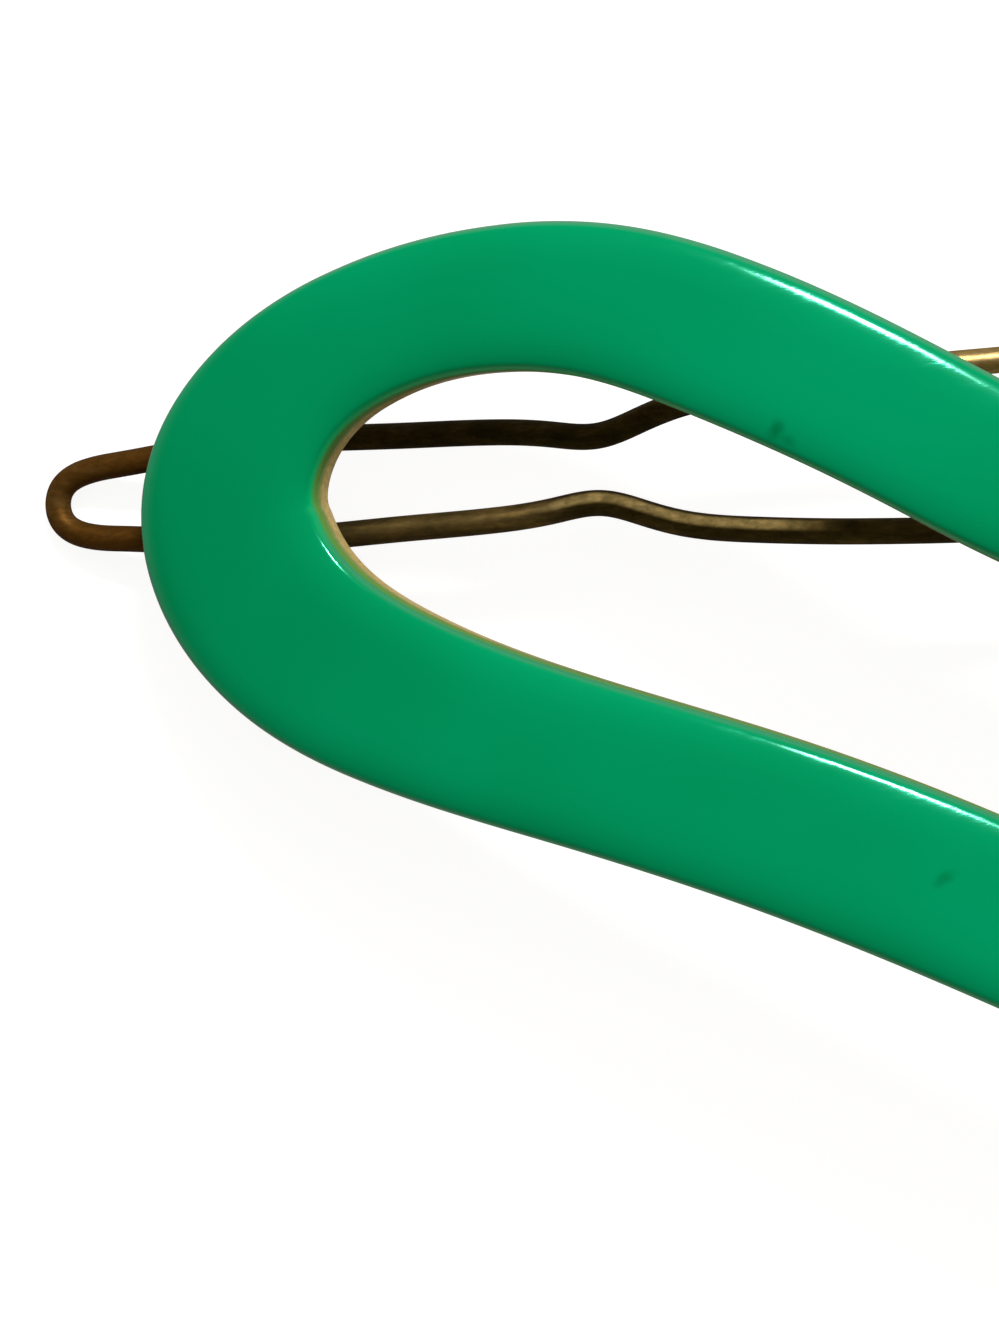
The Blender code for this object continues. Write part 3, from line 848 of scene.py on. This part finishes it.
class BARRETTE_OT_tongue(bpy.types.Operator):
    """Hairpin tongue of patinated wire"""

    bl_idname = "barrette.tongue"
    bl_label = "Wire tongue"

    def execute(self, context):
        piece = merged_copy("wire_tongue", "hairpin_tongue")
        bpy.ops.mesh.tris_convert_to_quads(face_threshold=FACE_TURN, shape_threshold=FACE_TURN)
        bpy.ops.transform.shrink_fatten(value=WIRE_GROWTH)
        subdivide(piece, FINE)
        bpy.ops.object.shade_smooth()
        put_in_place(piece, "tongue", wire_material(), "aged_wire", "wire_tongue")
        return {"FINISHED"}


def softened_sheet(node, name):
    """A fitting's CAD node with its flat facets joined and its edges rounded."""
    piece = merged_copy(node, name)
    bpy.ops.mesh.dissolve_limited(angle_limit=FLAT)
    round_edges(piece, bpy.context.scene.barrette_sizes.sheet_edge)
    bpy.ops.object.shade_smooth_by_angle(angle=SOFT)
    return piece


def solder_fillet(node, name, seed):
    """The CAD pad run out into an uneven fillet."""
    piece = merged_copy(node, name)
    bpy.ops.mesh.subdivide(number_cuts=2)
    swell = bpy.context.scene.barrette_sizes.solder_swell
    bpy.ops.transform.vertex_random(offset=swell / 3, uniform=0.2, normal=0.6, seed=seed)
    apply_modifier(piece, "SMOOTH", factor=0.5, iterations=4)
    bpy.ops.object.shade_smooth()
    return piece


class BARRETTE_OT_hinge(bpy.types.Operator):
    """Rolled hinge leaf and its solder"""

    bl_idname = "barrette.hinge"
    bl_label = "Hinge"

    def execute(self, context):
        leaf = softened_sheet("hinge_plate", "rolled_hinge_leaf")
        put_in_place(leaf, "ornament", fitting_material(), "fitting_brass", "hinge_plate")
        fillet = solder_fillet("hinge_solder", "hinge_solder_fillet", 3)
        put_in_place(fillet, "ornament", solder_material(), "solder", "hinge_solder")
        return {"FINISHED"}


class BARRETTE_OT_catch(bpy.types.Operator):
    """Catch plate, its solder and the two springy ears"""

    bl_idname = "barrette.catch"
    bl_label = "Catch"

    def execute(self, context):
        metal = fitting_material()
        plate = softened_sheet("catch_plate", "catch_saddle")
        put_in_place(plate, "ornament", metal, "fitting_brass", "catch_plate")
        fillet = solder_fillet("catch_solder", "catch_solder_fillet", 5)
        put_in_place(fillet, "ornament", solder_material(), "solder", "catch_solder")
        for side in ("upper", "lower"):
            ear = softened_sheet("catch_ear_" + side, side + "_ear_spring")
            put_in_place(ear, side + "_ear", metal, "fitting_brass", "catch_ear_" + side)
        return {"FINISHED"}


def photo_directions():
    """The picture's right and up, as directions on the floor."""
    right = Vector((cos(CAMERA_TURN), -sin(CAMERA_TURN), 0))
    up = Vector((sin(CAMERA_TURN), cos(CAMERA_TURN), 0))
    return right, up


# The key light's direction from the barrette: along the picture's right, its up and out of it
KEY_DIRECTION = (0.128, 0.643, 0.768)


def key_direction():
    right, up = photo_directions()
    x, y, z = KEY_DIRECTION
    return (right * x + up * y + Vector((0, 0, z))).normalized()


FLOOR_SIZE = 4.0
# How far the floor lies under the part
FLOOR_DROP = 0.00005


def add_floor(stage):
    """A pale matt floor that the camera and glossy rays see lifted to white. From below it isn't there."""
    deselect_all()
    bpy.ops.mesh.primitive_plane_add(size=FLOOR_SIZE, location=(0, 0, cad_low.z - FLOOR_DROP))
    floor = bpy.context.object
    floor.name = "floor"
    material, tree, shader, _ = new_material(
        "pale_floor", Base_Color=(*stage.floor, 1), Roughness=0.9, Specular_IOR_Level=0.1,
        Emission_Color=(1, 1, 1, 1),
    )
    rays = new_node(tree, "ShaderNodeLightPath").outputs
    mirrored = maths(tree, "ADD", rays["Is Glossy Ray"], rays["Is Transmission Ray"])
    mirrored = maths(tree, "MULTIPLY", mirrored, stage.gloss_glow)
    glow = maths(tree, "MULTIPLY_ADD", rays["Is Camera Ray"], stage.glow, mirrored)
    tree.links.new(glow, shader.inputs["Emission Strength"])
    sides = new_node(tree, "ShaderNodeMixShader")
    tree.links.new(new_node(tree, "ShaderNodeNewGeometry").outputs["Backfacing"], sides.inputs[0])
    tree.links.new(shader.outputs[0], sides.inputs[1])
    tree.links.new(new_node(tree, "ShaderNodeBsdfTransparent").outputs[0], sides.inputs[2])
    tree.links.new(sides.outputs[0], tree.nodes["Material Output"].inputs["Surface"])
    lay_out(tree)
    floor.data.materials.append(material)


# Heights in the sky between which gloss sees it fall from grey at the horizon to dark overhead
SKY_FALL = (0.02, 0.24)
HORIZON = 0.2
OVERHEAD = 0.02
# How closely the sky's soft light, and its glow in gloss, gather round the key's direction
SKY_FOCUS = 5.0
GLOW_FOCUS = 90.0
GLOW_STRENGTH = 2.0


def add_world(stage):
    """A sky: white for the camera, dark over a grey horizon for gloss, soft light for the rest."""
    world = bpy.data.worlds.new("studio")
    bpy.context.scene.world = world
    world.use_nodes = True
    tree = world.node_tree
    background = tree.nodes["Background"]
    way = new_node(tree, "ShaderNodeTexCoord").outputs["Generated"]
    rays = new_node(tree, "ShaderNodeLightPath").outputs
    mirror = maths(tree, "ADD", rays["Is Glossy Ray"], rays["Is Transmission Ray"], clamp=True)
    lobe = maths(tree, "MAXIMUM", along(tree, way, key_direction()), 0.0)
    lobe = maths(tree, "POWER", lobe, SKY_FOCUS)
    glow = maths(tree, "POWER", lobe, GLOW_FOCUS / SKY_FOCUS)
    ceiling = remap(tree, split(tree, way)["Z"], *SKY_FALL, HORIZON, OVERHEAD)
    gloss = maths(tree, "MULTIPLY_ADD", glow, GLOW_STRENGTH, ceiling)
    soft = maths(tree, "MULTIPLY_ADD", lobe, stage.sky, stage.ambient)
    mirrored = maths(tree, "MULTIPLY", gloss, mirror)
    scattered = maths(tree, "MULTIPLY", maths(tree, "SUBTRACT", 1.0, mirror), soft)
    strength = maths(tree, "ADD", mirrored, scattered)
    strength = maths(tree, "MAXIMUM", strength, rays["Is Camera Ray"])
    tree.links.new(strength, background.inputs["Strength"])
    white = maths(tree, "MAXIMUM", lobe, rays["Is Camera Ray"])
    tree.links.new(mix_colours(tree, white, stage.shade, (1, 1, 1)), background.inputs["Color"])
    lay_out(tree)


# How far from a light's middle it is fully bright, across it and along it, as shares of its size
FULLY_BRIGHT = {"X": 0.0, "Y": 0.12}


def soften_edges(light):
    """Lets a light's brightness fall off towards its edges, as a softbox's does."""
    light.use_nodes = True
    tree = light.node_tree
    across = split(tree, new_node(tree, "ShaderNodeNewGeometry").outputs["Parametric"])
    falls = []
    for axis, full in FULLY_BRIGHT.items():
        off_middle = maths(tree, "ABSOLUTE", maths(tree, "SUBTRACT", across[axis], 0.5))
        falls.append(remap(tree, off_middle, full, 0.5, 1.0, 0.0))
    tree.links.new(maths(tree, "MULTIPLY", *falls), tree.nodes["Emission"].inputs["Strength"])
    lay_out(tree)


def add_key_light(stage):
    way = key_direction()
    light = bpy.data.lights.new("key", "AREA")
    light.shape = "RECTANGLE"
    light.size = stage.key_width
    light.size_y = stage.key_length
    light.energy = stage.key_power
    soften_edges(light)
    lamp = bpy.data.objects.new("key", light)
    lamp.location = Vector((camera_foot().x, 0, 0)) + way * stage.key_distance
    lamp.rotation_euler = way.to_track_quat("Z", "Y").to_euler()
    bpy.context.scene.collection.objects.link(lamp)


def camera_foot():
    """The point of the enamel's top plane straight under the camera."""
    x = MIDDLE_X + CAMERA_FROM_MIDDLE[0]
    joint = frame["joints"][0]["pos_m"]
    return Vector((x, joint[1] + CAMERA_FROM_MIDDLE[1], cad_high.z))


def add_camera():
    camera = bpy.data.cameras.new("photo_camera")
    camera.sensor_width = SENSOR
    camera.lens = FOCAL_PIXELS * SENSOR / max(PHOTO_SIZE)
    camera.clip_start = CAMERA_HEIGHT / 20
    stand = bpy.data.objects.new("photo_camera", camera)
    stand.location = camera_foot() + Vector((0, 0, CAMERA_HEIGHT))
    stand.rotation_euler = (0, 0, -CAMERA_TURN)
    bpy.context.scene.collection.objects.link(stand)
    bpy.context.scene.camera = stand


class BARRETTE_OT_stage(bpy.types.Operator):
    """Floor, light and camera"""

    bl_idname = "barrette.stage"
    bl_label = "Stage"

    def execute(self, context):
        stage = context.scene.barrette_stage
        add_floor(stage)
        add_world(stage)
        add_key_light(stage)
        add_camera()
        context.scene.view_settings.view_transform = "Standard"
        return {"FINISHED"}


OPERATORS = (
    BARRETTE_OT_plate,
    BARRETTE_OT_enamel,
    BARRETTE_OT_tongue,
    BARRETTE_OT_hinge,
    BARRETTE_OT_catch,
    BARRETTE_OT_stage,
)


class BARRETTE_PT_panel(bpy.types.Panel):
    """Lists the barrette's pieces and settings"""

    bl_idname = "BARRETTE_PT_panel"
    bl_label = "French Barrette"
    bl_space_type = "VIEW_3D"
    bl_region_type = "UI"
    bl_category = "Barrette"

    def draw(self, context):
        scene = context.scene
        for operator in OPERATORS:
            self.layout.operator(operator.bl_idname)
        for group in (scene.barrette_sizes, scene.barrette_colours, scene.barrette_stage):
            box = self.layout.box()
            for name in group.__annotations__:
                box.prop(group, name)


CLASSES = (BarretteSizes, BarretteColours, BarretteStage, *OPERATORS, BARRETTE_PT_panel)


def register():
    for item in CLASSES:
        bpy.utils.register_class(item)
    bpy.types.Scene.barrette_sizes = bpy.props.PointerProperty(type=BarretteSizes)
    bpy.types.Scene.barrette_colours = bpy.props.PointerProperty(type=BarretteColours)
    bpy.types.Scene.barrette_stage = bpy.props.PointerProperty(type=BarretteStage)


def unregister():
    del bpy.types.Scene.barrette_stage
    del bpy.types.Scene.barrette_colours
    del bpy.types.Scene.barrette_sizes
    for item in reversed(CLASSES):
        bpy.utils.unregister_class(item)


def main():
    register()
    bpy.ops.barrette.plate()
    bpy.ops.barrette.enamel()
    bpy.ops.barrette.tongue()
    bpy.ops.barrette.hinge()
    bpy.ops.barrette.catch()
    bpy.ops.barrette.stage()


if __name__ == "__main__":
    main()
